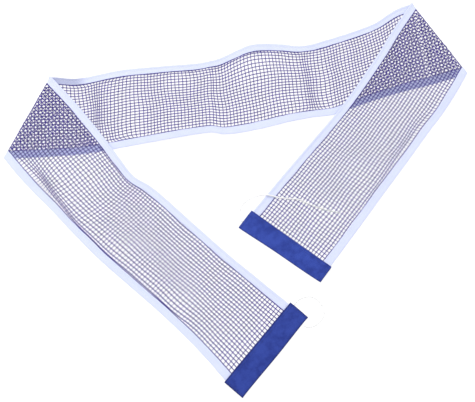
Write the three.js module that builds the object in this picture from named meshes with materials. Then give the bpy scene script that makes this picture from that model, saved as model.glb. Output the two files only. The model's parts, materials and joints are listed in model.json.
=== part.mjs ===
// A table tennis net without its posts, folded twice so that its two ends lie towards each other.
// A strip of square-mesh netting is bound top and bottom with white tape. A cord runs in the top
// hem, and a flat cloth sleeve at each end takes the post. Millimetres, +Z up, lying on z = 0.
import * as THREE from 'three';

// Driving dimensions
const netHeight = 150; // across the strip, outer edge to outer edge of the tapes
const tapeWidth = 13; // each folded binding tape, seen flat
const tapePly = 0.5; // one thickness of tape
const nettingThickness = 0.8;
const nettingTuck = 7.5; // how far the netting reaches into the fold of each tape
const cordDiameter = 2.5;
const clearance = 0.3; // between pieces that touch or slide
const layerGap = 0.4; // between the lower and the upper layer where the net lies on itself
const foldGap = 0.4; // from a fold line to the first solid on either side of it
const sleeveOverhang = 3.5; // how far a sleeve reaches past the strip at its top and at its foot
const sleeveWidth = 35.5;
const sleevePly = 0.7;
const hemEnd = 2; // how far the top hem reaches into a sleeve
const seamDepth = 9; // how far the netting reaches into a sleeve
const sleeveNose = 2.9; // height of a sleeve at its closed long edge
const sleeveShoulder = 13; // from a sleeve's mouth to where its upper side starts to fall
const liftRun = 60; // distance over which a run settles from the upper layer to the ground
const sleeveRun = 45; // distance over which a run rises into its sleeve
const runSpare = 10; // how far each outer run's last station lies beyond its sleeve's mouth

// Sizes that follow from them
const halfHeight = netHeight / 2;
const cordRadius = cordDiameter / 2;
const channelHalf = cordRadius + clearance;
const hemHalf = channelHalf + tapePly;
const slotHalf = nettingThickness / 2 + clearance;
const tapeHalf = slotHalf + tapePly;
const cordSeat = halfHeight - hemHalf;
const groundLevel = hemHalf; // middle of a run that lies on the ground
const upperLevel = groundLevel + 2 * hemHalf + layerGap; // middle of a run that lies on another
const foldLevel = (groundLevel + upperLevel) / 2; // height of both fold lines
const sleeveLevel = sleevePly + clearance + hemHalf; // middle of a run inside its sleeve
const sleeveLength = netHeight + 2 * sleeveOverhang; // along the post
const sleeveTop = sleeveLevel + hemHalf + clearance + sleevePly;

// Each fold line: a point on it, and its direction in degrees towards the top hem.
const folds = {
  left: { x: -365.5, y: 116, angle: 68.3 },
  right: { x: 353.5, y: 275.5, angle: 119.7 },
};

// Stations along the three runs: middle of the net, direction of a mesh column in degrees (bottom
// tape to top tape) and its length as a share of the net's height, where the net is pulled or slack.
const stations = {
  left: [
    [-395.2, 149, 43, 1.017], [-341, 89, 43, 1.019], [-315.5, 58.5, 42, 1.01],
    [-282.5, 20.5, 39.5, 0.976], [-254.5, -11.5, 40, 0.928], [-229, -40, 41.5, 0.907],
    [-201.5, -62.5, 45, 0.952], [-175, -86.5, 46.5, 0.967], [-125.5, -131, 46, 0.948],
    [-76, -175, 44.5, 0.933], [-29, -217, 44.5, 0.952], [-0.5, -244, 47.5, 0.977],
    [24, -268.5, 50, 1.01], [31.7, -274.9, 50, 1.01],
  ],
  middle: [
    [-411.5, 113.4, 95.5, 1.028], [-326.5, 118.3, 95.5, 1.028], [-285, 118.5, 95.5, 0.985],
    [-242, 125.3, 95.5, 0.994], [-195, 135.5, 95.5, 0.998], [-128, 146, 95.5, 0.965],
    [-61, 155, 95.5, 0.925], [-39, 156, 95.5, 0.978], [-8, 164.8, 95.5, 1.049],
    [30, 177.5, 95.5, 1.105], [75, 185, 95.5, 1.045], [118, 187, 95.5, 0.951],
    [151, 195, 95.5, 0.991], [206.5, 216, 95.5, 0.979], [251, 234, 95.5, 1.006],
    [287, 252.8, 95.5, 1.108], [319.3, 264.4, 95.5, 1.147], [395.3, 289.1, 95.5, 1.147],
  ],
  right: [
    [378.6, 314, 146, 1.016], [332.8, 243.7, 146, 1.016], [307.5, 201.5, 146.8, 1.011],
    [282.5, 164, 146.1, 1.004], [259, 131, 146.1, 0.98], [219.5, 77, 145.9, 0.975],
    [172, 17, 144.8, 0.995], [125, -43.5, 143.3, 1.015], [78.5, -104, 142.8, 1.02],
    [72.5, -112, 142.8, 1.02],
  ],
};

// Low swells of the net: distance along the run, place across it, length, breadth and height.
const swells = {
  left: [
    [330, -30, 60, 40, 2.2], [430, 35, 45, 35, 1.8],
  ],
  middle: [
    [190, 50, 40, 45, 3], [300, -40, 50, 40, 3.5], [365, 10, 14, 90, 4],
    [430, 60, 42, 50, 6], [500, -30, 30, 40, 3], [540, 45, 20, 60, 4],
  ],
  right: [
    [250, 20, 50, 40, 2.2], [360, -40, 45, 35, 2],
  ],
};

const radians = THREE.MathUtils.degToRad;
const smooth = THREE.MathUtils.smoothstep;

// A smooth curve through rows of numbers, measured along the first two, straight beyond its ends.
function makeTrack(rows) {
  const marks = [0];
  for (let i = 1; i < rows.length; i += 1) {
    const step = Math.hypot(rows[i][0] - rows[i - 1][0], rows[i][1] - rows[i - 1][1]);
    marks.push(marks[i - 1] + step);
  }
  const last = rows.length - 1;
  const slope = (i, k) => {
    const a = Math.max(i - 1, 0);
    const b = Math.min(i + 1, last);
    return (rows[b][k] - rows[a][k]) / (marks[b] - marks[a]);
  };
  const at = (s, k) => {
    if (s <= 0) return rows[0][k] + slope(0, k) * s;
    if (s >= marks[last]) return rows[last][k] + slope(last, k) * (s - marks[last]);
    let i = 0;
    while (marks[i + 1] < s) i += 1;
    const h = marks[i + 1] - marks[i];
    const u = (s - marks[i]) / h;
    return rows[i][k] * (1 + 2 * u) * (1 - u) ** 2 + slope(i, k) * h * u * (1 - u) ** 2
      + rows[i + 1][k] * u * u * (3 - 2 * u) + slope(i + 1, k) * h * u * u * (u - 1);
  };
  return { at, length: marks[last] };
}

// Where a point of a run lies in plan: s along the run, q across it from the middle of the net.
function makeRun(name) {
  const track = makeTrack(stations[name].map(([x, y, angle, spread]) => [
    x, y, spread * Math.cos(radians(angle)), spread * Math.sin(radians(angle)),
  ]));
  const plan = (s, q) => [track.at(s, 0) + q * track.at(s, 2), track.at(s, 1) + q * track.at(s, 3)];
  const swell = (s, q) => swells[name].reduce((sum, [atS, atQ, long, broad, height]) => (
    sum + height * Math.exp(-(((s - atS) / long) ** 2) - ((q - atQ) / broad) ** 2)
  ), 0);
  return { plan, swell, length: track.length };
}

const runs = { left: makeRun('left'), middle: makeRun('middle'), right: makeRun('right') };

// Distance from a fold line into the net, for a point in plan.
function insideFold(side, x, y) {
  const { x: fx, y: fy, angle } = folds[side];
  const turn = side === 'left' ? 1 : -1;
  return turn * ((x - fx) * Math.sin(radians(angle)) - (y - fy) * Math.cos(radians(angle)));
}

// Where a lengthwise line of a run meets a fold line, searched between two places on the run.
function meetFold(run, side, q, near, far) {
  let inside = far;
  let outside = near;
  for (let i = 0; i < 40; i += 1) {
    const middle = (inside + outside) / 2;
    const [x, y] = run.plan(middle, q);
    if (insideFold(side, x, y) > foldGap) inside = middle;
    else outside = middle;
  }
  return inside;
}

const reach = 170; // no fold line crosses a run further than this from the run's end
const edgeRun = 230; // length of the middle run's bottom edge that the outer runs settle along
const edgeMargin = 8; // they stay lifted this far beyond that edge
const lyingEnds = { left: [120, 190], right: [540, 600] }; // where the middle run's swells fade
const middleStart = (q) => meetFold(runs.middle, 'left', q, -reach, reach);
const middleEnd = (q) => (
  meetFold(runs.middle, 'right', q, runs.middle.length + reach, runs.middle.length - reach)
);

// How much of the lift of the upper layer is left beyond the bottom edge of the middle run.
function makeCover(side) {
  const foldEnd = side === 'left' ? middleStart(-halfHeight) : middleEnd(-halfHeight);
  const away = side === 'left' ? edgeRun : -edgeRun;
  const [ax, ay] = runs.middle.plan(foldEnd, -halfHeight);
  const [bx, by] = runs.middle.plan(foldEnd + away, -halfHeight);
  const turn = Math.sign(away) / Math.hypot(bx - ax, by - ay);
  return (x, y) => {
    const beyond = ((y - ay) * (bx - ax) - (x - ax) * (by - ay)) * -turn;
    return 1 - smooth(beyond, edgeMargin, edgeMargin + liftRun);
  };
}

// The two folded-over runs: from the fold line to the sleeve.
function makeOuterRun(side) {
  const run = runs[side];
  const cover = makeCover(side);
  const sleeveAt = run.length - runSpare;
  const level = (s, q) => {
    const [x, y] = run.plan(s, q);
    const rise = smooth(s, sleeveAt - sleeveRun, sleeveAt);
    const lifted = (upperLevel - groundLevel) * cover(x, y);
    const still = 1 - Math.max(rise, cover(x, y));
    return groundLevel + lifted + (sleeveLevel - groundLevel) * rise + run.swell(s, q) * still;
  };
  const start = (q) => meetFold(run, side, q, -reach, reach);
  return { plan: run.plan, level, start, end: () => sleeveAt, sleeveAt };
}

const leftRun = makeOuterRun('left');
const rightRun = makeOuterRun('right');
const middleRun = {
  plan: runs.middle.plan,
  start: middleStart,
  end: middleEnd,
  // The swells die out before the stretches that the other two runs lie on.
  level: (s, q) => {
    const free = smooth(s, ...lyingEnds.left) * (1 - smooth(s, ...lyingEnds.right));
    return groundLevel + runs.middle.swell(s, q) * free;
  },
};

// A closed solid: rings of points joined in order, with both ends capped by the profile's shape.
function ringSolid(rings, profile) {
  const count = profile.length;
  const positions = rings.flat(2);
  const indices = [];
  for (let i = 0; i + 1 < rings.length; i += 1) {
    for (let k = 0; k < count; k += 1) {
      const a = i * count + k;
      const b = i * count + ((k + 1) % count);
      indices.push(a, b, a + count, b, b + count, a + count);
    }
  }
  const outline = profile.map(([q, n]) => new THREE.Vector2(q, n));
  const lastRing = (rings.length - 1) * count;
  THREE.ShapeUtils.triangulateShape(outline, []).forEach(([a, b, c]) => {
    indices.push(c, b, a);
    indices.push(lastRing + a, lastRing + b, lastRing + c);
  });
  const geometry = new THREE.BufferGeometry();
  geometry.setAttribute('position', new THREE.Float32BufferAttribute(positions, 3));
  geometry.setIndex(indices);
  if (signedVolume(positions, indices) < 0) {
    for (let i = 0; i < indices.length; i += 3) {
      [indices[i], indices[i + 1]] = [indices[i + 1], indices[i]];
    }
    geometry.setIndex(indices);
  }
  geometry.computeVertexNormals();
  return geometry;
}

function signedVolume(positions, indices) {
  const corner = (index) => new THREE.Vector3().fromArray(positions, 3 * index);
  let sum = 0;
  for (let i = 0; i < indices.length; i += 3) {
    sum += corner(indices[i]).dot(corner(indices[i + 1]).cross(corner(indices[i + 2])));
  }
  return sum;
}

// A profile (q across the net, n up from its middle) carried along a run, and on into a sleeve.
function alongRun(run, shape, steps, into) {
  const outline = shape.map(([q, n]) => new THREE.Vector2(q, n));
  const profile = THREE.ShapeUtils.isClockWise(outline) ? shape.slice().reverse() : shape;
  const ring = (place) => profile.map(([q, n]) => {
    const s = place(q);
    const [x, y] = run.plan(s, q);
    return [x, y, run.level(s, q) + n];
  });
  const rings = [];
  for (let i = 0; i <= steps; i += 1) {
    rings.push(ring((q) => run.start(q) + (run.end(q) - run.start(q)) * (i / steps)));
  }
  if (into > 0) rings.push(ring((q) => run.end(q) + into));
  return ringSolid(rings, profile);
}

// Profiles
const mirrored = (points) => points.concat(
  points.filter(([, n]) => n !== 0).reverse().map(([q, n]) => [q, -n]),
);
const neck = cordSeat - hemHalf - 1.5; // where the hem narrows to the two sewn plies

function topTapeProfile() {
  const inner = halfHeight - tapeWidth;
  const outside = mirrored([
    [inner, tapeHalf], [neck, tapeHalf], [cordSeat - 1, hemHalf],
    [cordSeat + 0.6 * hemHalf, 0.8 * hemHalf], [halfHeight, 0],
  ]);
  const inside = mirrored([
    [inner, slotHalf], [neck, slotHalf], [cordSeat - 1, channelHalf],
    [cordSeat + 0.6 * channelHalf, 0.8 * channelHalf], [halfHeight - tapePly, 0],
  ]);
  return outside.concat(inside.reverse());
}

function bottomTapeProfile() {
  const inner = -(halfHeight - tapeWidth);
  const tucked = inner - nettingTuck;
  const bend = -(halfHeight - tapeHalf);
  const outside = mirrored([
    [inner, tapeHalf], [tucked, tapeHalf], [bend, tapeHalf], [-halfHeight, 0],
  ]);
  const inside = mirrored([
    [inner, slotHalf], [tucked, slotHalf], [bend, slotHalf], [tapePly - halfHeight, 0],
  ]);
  return outside.concat(inside.reverse());
}

function nettingProfile() {
  const inner = halfHeight - tapeWidth;
  const columns = [-inner - nettingTuck];
  for (let i = -3; i <= 3; i += 1) columns.push((inner * i) / 3);
  columns.push(inner + nettingTuck);
  return mirrored(columns.map((q) => [q, nettingThickness / 2]));
}

function cordProfile() {
  const sides = 8;
  const points = [];
  for (let i = 0; i < sides; i += 1) {
    const turn = (2 * Math.PI * (i + 0.5)) / sides;
    points.push([cordSeat + cordRadius * Math.cos(turn), cordRadius * Math.sin(turn)]);
  }
  return points;
}

// A sleeve: cloth folded round the post, closed along its outer edge and open at both short ends.
function sleeveSolid() {
  const bevel = 1.2; // of the closed long edge
  const turn = sleeveWidth - bevel;
  const inner = sleeveWidth - sleevePly;
  const outline = [
    [0, 0], [turn, 0], [sleeveWidth, bevel], [sleeveWidth, sleeveNose - bevel],
    [turn, sleeveNose], [sleeveShoulder, sleeveTop], [0, sleeveTop],
    [0, sleeveTop - sleevePly], [sleeveShoulder, sleeveTop - sleevePly],
    [turn - clearance, sleeveNose - sleevePly], [inner, sleeveNose - bevel],
    [inner, bevel], [turn - clearance, sleevePly], [0, sleevePly],
  ];
  const shape = new THREE.Shape(outline.map(([w, z]) => new THREE.Vector2(w, z)));
  const geometry = new THREE.ExtrudeGeometry(shape, { depth: sleeveLength, bevelEnabled: false });
  geometry.translate(0, 0, -sleeveLength / 2);
  geometry.rotateX(Math.PI / 2);
  return geometry;
}

// Free ends of the cord, as points chosen by hand: the loop at the left sleeve, which turns out of
// the sleeve's mouth and back to its closed edge, and the tail that lies across the right run.
const loopRoute = [
  [72.6, -214, 3.05], [76.2, -216, 3.05], [79.6, -213.6, 2.85], [82.6, -208.6, 2.15],
  [88, -203, 1.55], [96, -199.4, 1.35], [105, -198, 1.35], [113, -200.4, 1.35],
  [120, -206.4, 1.35], [125, -215, 1.35], [126, -224, 1.35], [123.6, -232, 1.35],
  [118, -239, 1.35], [110, -244, 1.35], [102, -246, 1.4], [97.4, -245.2, 1.5],
  [94.4, -243.2, 1.55],
];
const tailRoute = [
  [16.8, -61, 3.05], [12.4, -66.8, 3.05], [8, -71.6, 2.85], [3, -74.2, 2.4], [-1.4, -72.4, 1.85],
  [-3.6, -65, 1.45], [-3, -55, 1.35], [0, -46, 1.35], [5.4, -40, 1.65], [13.6, -35, 2.75],
  [23, -31.8, 5], [33, -30, 6.8], [42, -30, 7.2], [51, -31.6, 6.3], [60, -33.6, 5.1],
  [71, -34.8, 4.7], [82, -35.4, 4.6], [94, -37, 4.6], [104, -42, 4.6], [114, -47, 4.6],
  [125, -51, 4.6], [136, -55, 4.6], [147, -57.6, 4.6], [159, -60, 4.6],
];

function cordAlong(points, steps) {
  const route = new THREE.CatmullRomCurve3(points.map(([x, y, z]) => new THREE.Vector3(x, y, z)));
  const section = new THREE.Shape();
  const sides = 8;
  for (let i = 0; i < sides; i += 1) {
    const turn = (2 * Math.PI * i) / sides;
    const corner = [cordRadius * Math.cos(turn), cordRadius * Math.sin(turn)];
    if (i === 0) section.moveTo(...corner);
    else section.lineTo(...corner);
  }
  section.closePath();
  return new THREE.ExtrudeGeometry(section, { steps, bevelEnabled: false, extrudePath: route });
}

// Materials
const netting = new THREE.MeshStandardMaterial({ color: 0x2a2140, roughness: 0.85, metalness: 0 });
const tape = new THREE.MeshStandardMaterial({ color: 0xdfe4f8, roughness: 0.8, metalness: 0 });
const cord = new THREE.MeshStandardMaterial({ color: 0xf2f2f4, roughness: 0.6, metalness: 0 });
const sleeveCloth = new THREE.MeshStandardMaterial({ color: 0x2f43a6, roughness: 0.75, metalness: 0 });

const net = new THREE.Group();

function add(name, geometry, material, group = net) {
  const mesh = new THREE.Mesh(geometry, material);
  mesh.name = name;
  group.add(mesh);
  return mesh;
}

// The strip, run by run
const stripSteps = { left: 30, middle: 40, right: 26 };
Object.entries({ left: leftRun, middle: middleRun, right: rightRun }).forEach(([side, run]) => {
  const steps = stripSteps[side];
  const sewnEnd = side === 'middle' ? 0 : seamDepth;
  const openEnd = side === 'middle' ? 0 : hemEnd;
  add(`netting_${side}`, alongRun(run, nettingProfile(), steps, sewnEnd), netting);
  add(`top_tape_${side}`, alongRun(run, topTapeProfile(), steps, openEnd), tape);
  add(`bottom_tape_${side}`, alongRun(run, bottomTapeProfile(), steps, sewnEnd), tape);
  add(`hem_cord_${side}`, alongRun(run, cordProfile(), steps, openEnd), cord);
});

// The sleeves, each laid over the end of its run
Object.entries({ left: leftRun, right: rightRun }).forEach(([side, run]) => {
  const [hx, hy] = run.plan(run.sleeveAt, halfHeight);
  const [fx, fy] = run.plan(run.sleeveAt, -halfHeight);
  const holder = new THREE.Group();
  holder.position.set((hx + fx) / 2, (hy + fy) / 2, 0);
  const outward = Math.atan2(hy - fy, hx - fx) + (side === 'left' ? -Math.PI / 2 : Math.PI / 2);
  holder.rotation.z = outward;
  net.add(holder);
  add(`post_sleeve_${side}`, sleeveSolid(), sleeveCloth, holder);
});

// The free ends of the cord
add('cord_loop_left', cordAlong(loopRoute, 36), cord);
add('cord_tail_right', cordAlong(tailRoute, 60), cord);

export default net;
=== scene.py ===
import json
import math

import bpy
import numpy as np
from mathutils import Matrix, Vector


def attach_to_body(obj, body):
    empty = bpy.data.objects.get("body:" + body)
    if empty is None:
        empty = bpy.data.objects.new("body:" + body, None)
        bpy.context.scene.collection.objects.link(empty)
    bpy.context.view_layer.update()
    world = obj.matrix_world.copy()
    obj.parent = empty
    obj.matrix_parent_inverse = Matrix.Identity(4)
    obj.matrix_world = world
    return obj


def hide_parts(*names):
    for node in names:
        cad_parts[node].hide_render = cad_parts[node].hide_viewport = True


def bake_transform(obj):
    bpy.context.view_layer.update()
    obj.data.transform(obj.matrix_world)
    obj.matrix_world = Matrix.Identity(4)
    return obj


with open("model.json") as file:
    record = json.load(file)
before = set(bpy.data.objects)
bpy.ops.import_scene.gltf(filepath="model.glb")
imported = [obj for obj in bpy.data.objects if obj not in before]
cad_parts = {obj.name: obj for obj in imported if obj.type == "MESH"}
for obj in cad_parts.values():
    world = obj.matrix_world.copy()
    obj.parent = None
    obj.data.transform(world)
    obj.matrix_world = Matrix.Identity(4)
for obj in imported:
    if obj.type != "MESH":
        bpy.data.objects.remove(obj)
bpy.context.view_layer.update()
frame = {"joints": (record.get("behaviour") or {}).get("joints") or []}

# A table tennis net laid on a table: a folded strip of square-mesh netting bound with white
# tape, with a cloth post sleeve at each end and a cord in its top hem. Lengths in metres,
# except in the plan of the net just below, which is in millimetres like the part's own plan.

mm = 0.001

# Camera
cameraValues = {
    "place": (-0.007, -0.476, 1.0967),
    "tilt": 21.78,  # degrees away from straight down
    "lens": 54.67,
    "sensor": 36.0,
}


def addCamera():
    data = bpy.data.cameras.new("sceneCamera")
    data.lens = cameraValues["lens"]
    data.sensor_width = cameraValues["sensor"]
    data.clip_start = 0.01
    data.clip_end = 50
    camera = bpy.data.objects.new("sceneCamera", data)
    camera.location = cameraValues["place"]
    camera.rotation_euler = (math.radians(cameraValues["tilt"]), 0, 0)
    bpy.context.collection.objects.link(camera)
    bpy.context.scene.camera = camera


addCamera()
print("camera placed")

# Plan of the net
netPlan = {
    "halfHeight": 75.0,
    "meshHalf": 62.0,  # from the middle of the strip to the inner edge of each tape
    "groundLevel": 2.05,
    "upperLevel": 6.55,
    "foldLevel": 4.3,
    "sleeveLevel": 3.05,
    "bendRadius": 2.25,  # of the strip where it turns over at a fold
    "liftRun": 60.0,
    "sleeveRun": 45.0,
    "runSpare": 10,  # how far each outer run's last station lies beyond its sleeve's mouth
    "foldGap": 0.4,
    "foldMargin": 8.0,  # from the furthest corner of a fold to the first straight rib
}

# Fold lines: a point, the direction towards the top hem, and which side the net lies on.
folds = {
    "left": {"at": (-365.5, 116.0), "angle": 68.3, "turn": 1},
    "right": {"at": (353.5, 275.5), "angle": 119.7, "turn": -1},
}

# Stations: middle of the net, direction of a mesh column in degrees, share of its full length.
stations = {
    "left": [
        (-395.2, 149, 43, 1.017), (-341, 89, 43, 1.019), (-315.5, 58.5, 42, 1.01),
        (-282.5, 20.5, 39.5, 0.976), (-254.5, -11.5, 40, 0.928), (-229, -40, 41.5, 0.907),
        (-201.5, -62.5, 45, 0.952), (-175, -86.5, 46.5, 0.967), (-125.5, -131, 46, 0.948),
        (-76, -175, 44.5, 0.933), (-29, -217, 44.5, 0.952), (-0.5, -244, 47.5, 0.977),
        (24, -268.5, 50, 1.01), (31.7, -274.9, 50, 1.01),
    ],
    "middle": [
        (-411.5, 113.4, 95.5, 1.028), (-326.5, 118.3, 95.5, 1.028), (-285, 118.5, 95.5, 0.985),
        (-242, 125.3, 95.5, 0.994), (-195, 135.5, 95.5, 0.998), (-128, 146, 95.5, 0.965),
        (-61, 155, 95.5, 0.925), (-39, 156, 95.5, 0.978), (-8, 164.8, 95.5, 1.049),
        (30, 177.5, 95.5, 1.105), (75, 185, 95.5, 1.045), (118, 187, 95.5, 0.951),
        (151, 195, 95.5, 0.991), (206.5, 216, 95.5, 0.979), (251, 234, 95.5, 1.006),
        (287, 252.8, 95.5, 1.108), (319.3, 264.4, 95.5, 1.147), (395.3, 289.1, 95.5, 1.147),
    ],
    "right": [
        (378.6, 314, 146, 1.016), (332.8, 243.7, 146, 1.016), (307.5, 201.5, 146.8, 1.011),
        (282.5, 164, 146.1, 1.004), (259, 131, 146.1, 0.98), (219.5, 77, 145.9, 0.975),
        (172, 17, 144.8, 0.995), (125, -43.5, 143.3, 1.015), (78.5, -104, 142.8, 1.02),
        (72.5, -112, 142.8, 1.02),
    ],
}

# Low swells: distance along the run, place across it, length, breadth and height.
swells = {
    "left": [(330, -30, 60, 40, 2.2), (430, 35, 45, 35, 1.8)],
    "middle": [
        (190, 50, 40, 45, 3), (300, -40, 50, 40, 3.5), (365, 10, 14, 90, 4),
        (430, 60, 42, 50, 6), (500, -30, 30, 40, 3), (540, 45, 20, 60, 4),
    ],
    "right": [(250, 20, 50, 40, 2.2), (360, -40, 45, 35, 2)],
}


def smooth(value, low, high):
    t = np.clip((value - low) / (high - low), 0, 1)
    return t * t * (3 - 2 * t)


# A smooth curve through rows of numbers, measured along the first two, straight beyond its ends.
def makeTrack(rows):
    rows = np.array(rows, float)
    steps = np.hypot(*np.diff(rows[:, :2], axis=0).T)
    marks = np.concatenate([[0], np.cumsum(steps)])
    last = len(rows) - 1
    index = np.arange(last + 1)
    before, after = np.maximum(index - 1, 0), np.minimum(index + 1, last)
    slopes = (rows[after] - rows[before]) / (marks[after] - marks[before])[:, None]

    def at(s):
        s = np.asarray(s, float)
        held = np.clip(s, 0, marks[-1])
        i = np.clip(np.searchsorted(marks, held, side="right") - 1, 0, last - 1)
        h = (marks[i + 1] - marks[i])[..., None]
        u = (held - marks[i])[..., None] / h
        row = (
            rows[i] * (1 + 2 * u) * (1 - u) ** 2
            + slopes[i] * h * u * (1 - u) ** 2
            + rows[i + 1] * u * u * (3 - 2 * u)
            + slopes[i + 1] * h * u * u * (u - 1)
        )
        ends = np.where((s < 0)[..., None], slopes[0], slopes[-1])
        return row + (s - held)[..., None] * ends

    return at, float(marks[-1])


tracks = {}
runLength = {}
for runName, runStations in stations.items():
    columns = []
    for x, y, angle, spread in runStations:
        turned = math.radians(angle)
        columns.append((x, y, spread * math.cos(turned), spread * math.sin(turned)))
    tracks[runName], runLength[runName] = makeTrack(columns)


def planOf(run, s, q):
    row = tracks[run](s)
    return row[..., :2] + np.asarray(q, float)[..., None] * row[..., 2:]


# Distance from a fold line into the net.
def insideFold(side, xy):
    fold = folds[side]
    a = math.radians(fold["angle"])
    dx, dy = xy[..., 0] - fold["at"][0], xy[..., 1] - fold["at"][1]
    return fold["turn"] * (dx * math.sin(a) - dy * math.cos(a))


# Where lengthwise lines of a run meet a fold line.
def meetFold(run, side, q, gap=0.0):
    q = np.asarray(q, float)
    reach = 170.0
    start = runLength[run] if run == "middle" and side == "right" else 0.0
    sign = -1 if start else 1
    near, far = np.full(q.shape, start - sign * reach), np.full(q.shape, start + sign * reach)
    for _ in range(40):
        middle = (near + far) / 2
        within = insideFold(side, planOf(run, middle, q)) > gap
        far, near = np.where(within, middle, far), np.where(within, near, middle)
    return far


def makeCover(side):
    away = 230.0 if side == "left" else -230.0
    foot = -netPlan["halfHeight"]
    foldEnd = meetFold("middle", side, np.array(foot), netPlan["foldGap"])
    a, b = planOf("middle", foldEnd, foot), planOf("middle", foldEnd + away, foot)
    turn = math.copysign(1, away) / math.dist(a, b)

    def cover(xy):
        rise = (xy[..., 1] - a[1]) * (b[0] - a[0]) - (xy[..., 0] - a[0]) * (b[1] - a[1])
        return 1 - smooth(-turn * rise, 8, 8 + netPlan["liftRun"])

    return cover


covers = {side: makeCover(side) for side in folds}
sleeveAt = {side: runLength[side] - netPlan["runSpare"] for side in folds}


def swellOf(run, s, q):
    total = np.zeros(np.broadcast(s, q).shape)
    for atS, atQ, long, broad, height in swells[run]:
        total += height * np.exp(-(((s - atS) / long) ** 2) - ((q - atQ) / broad) ** 2)
    return total


# The strip turns over along a half circle at each fold line.
def bendOver(level, inside, sign):
    radius = netPlan["bendRadius"]
    left = np.clip(radius - inside, 0, radius)
    turned = netPlan["foldLevel"] + sign * np.sqrt(radius**2 - left**2)
    return np.where(inside < radius, turned, level)


# A point of the middle of the strip: s along its run, q across it towards the top hem.
def stripPoint(run, s, q):
    s, q = np.broadcast_arrays(np.asarray(s, float), np.asarray(q, float))
    xy = planOf(run, s, q)
    ground = netPlan["groundLevel"]
    if run == "middle":
        free = smooth(s, 120, 190) * (1 - smooth(s, 540, 600))
        level = ground + swellOf(run, s, q) * free
        for side in folds:
            level = bendOver(level, insideFold(side, xy), -1)
    else:
        cover = covers[run](xy)
        rise = smooth(s, sleeveAt[run] - netPlan["sleeveRun"], sleeveAt[run])
        level = ground + (netPlan["upperLevel"] - ground) * cover
        level = level + (netPlan["sleeveLevel"] - ground) * rise
        level = level + swellOf(run, s, q) * (1 - np.maximum(rise, cover))
        level = bendOver(level, insideFold(run, xy), 1)
    return np.concatenate([xy, level[..., None]], axis=-1)


# Places where the mesh is drawn together: distance along the run, place across it, how far
# that reaches along and across, and how much closer the crosswise and lengthwise yarns lie.
gathers = {
    "left": [
        (255, -62, 60, 18, 0.0, 0.45), (308, -62, 45, 16, 0.0, 0.45), (391, -64, 60, 16, 0.0, 0.45),
        (455, -64, 40, 15, 0.0, 0.4), (214, 5, 70, 50, -0.18, -0.16), (170, -46, 34, 16, 0.2, 0.3),
        (340, -24, 26, 26, -0.16, -0.1), (468, -32, 28, 26, -0.16, -0.1),
        (150, -44, 50, 20, 0.0, 0.3), (225, -50, 40, 16, 0.0, 0.35),
    ],
    "middle": [
        (165, -10, 36, 75, 0.5, 0.0), (196, -50, 16, 28, 0.3, 0.0), (234, -25, 20, 50, -0.25, 0.0),
        (313, 40, 42, 30, -0.15, -0.12), (366, 0, 7, 90, 0.3, 0.0), (440, 30, 46, 36, -0.15, -0.1),
        (533, 30, 18, 60, 0.34, 0.0), (537, -40, 20, 40, 0.34, 0.0), (566, -20, 14, 60, -0.3, 0.0),
        (607, 30, 14, 30, -0.2, 0.0), (450, 62, 90, 14, 0.0, 0.3),
    ],
    "right": [
        (262, -50, 70, 18, 0.1, 0.3), (353, -13, 30, 24, -0.18, -0.1),
        (448, -19, 30, 24, -0.14, -0.1), (357, -62, 70, 16, 0.0, 0.35),
    ],
}


# Moves places on a run towards, or away from, the middles of its gathers.
def gathered(run, s, q):
    s, q = np.broadcast_arrays(np.asarray(s, float), np.asarray(q, float))
    if run == "middle":
        first, last = ribs["left"]["middle"], ribs["right"]["middle"]
    else:
        first, last = ribs[run]["outer"], sleeveAt[run]
    free = smooth(s, first, first + 20) * (1 - smooth(s, last - 20, last))
    inMesh = 1 - smooth(np.abs(q), netPlan["meshHalf"] - 6, netPlan["meshHalf"] - 0.5)
    movedS, movedQ = s, q
    for atS, atQ, long, broad, alongShare, acrossShare in gathers[run]:
        near = np.exp(-(((s - atS) / long) ** 2) - ((q - atQ) / broad) ** 2) * free
        movedS = movedS - alongShare * (s - atS) * near * inMesh
        movedQ = movedQ - acrossShare * (q - atQ) * near * inMesh
    return movedS, movedQ


# The straight ribs where a fold piece ends, on the middle run and on the outer run.
edgeRows = np.linspace(-netPlan["halfHeight"], netPlan["halfHeight"], 31)
ribs = {}
for side in folds:
    onMiddle = meetFold("middle", side, edgeRows)
    onOuter = meetFold(side, side, edgeRows)
    margin = netPlan["foldMargin"]
    middleRib = onMiddle.max() + margin if side == "left" else onMiddle.min() - margin
    ribs[side] = {"middle": float(middleRib), "outer": float(onOuter.max() + margin)}

sections = ("middle", "left", "right", "foldLeft", "foldRight")
sectionRuns = {
    "middle": ("middle", ribs["left"]["middle"], ribs["right"]["middle"]),
    "left": ("left", ribs["left"]["outer"], sleeveAt["left"]),
    "right": ("right", ribs["right"]["outer"], sleeveAt["right"]),
}
foldSide = {"foldLeft": "left", "foldRight": "right"}


# Steps away from a fold line: close together round the bend, then even up to the rib.
def stepsFromFold(run, side, q, rib, count):
    at = meetFold(run, side, q)
    slope = insideFold(side, planOf(run, np.full(np.shape(at), rib), q)) / np.abs(rib - at)
    turns = np.radians(np.linspace(0, 90, 7))
    bend = netPlan["bendRadius"] * (1 - np.cos(turns))
    near = bend[:, None] / slope[None, :]
    far = near[-1] + (np.abs(rib - at) - near[-1]) * np.linspace(0, 1, count + 1)[1:, None]
    return at + math.copysign(1, rib - float(np.mean(at))) * np.concatenate([near, far])


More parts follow.
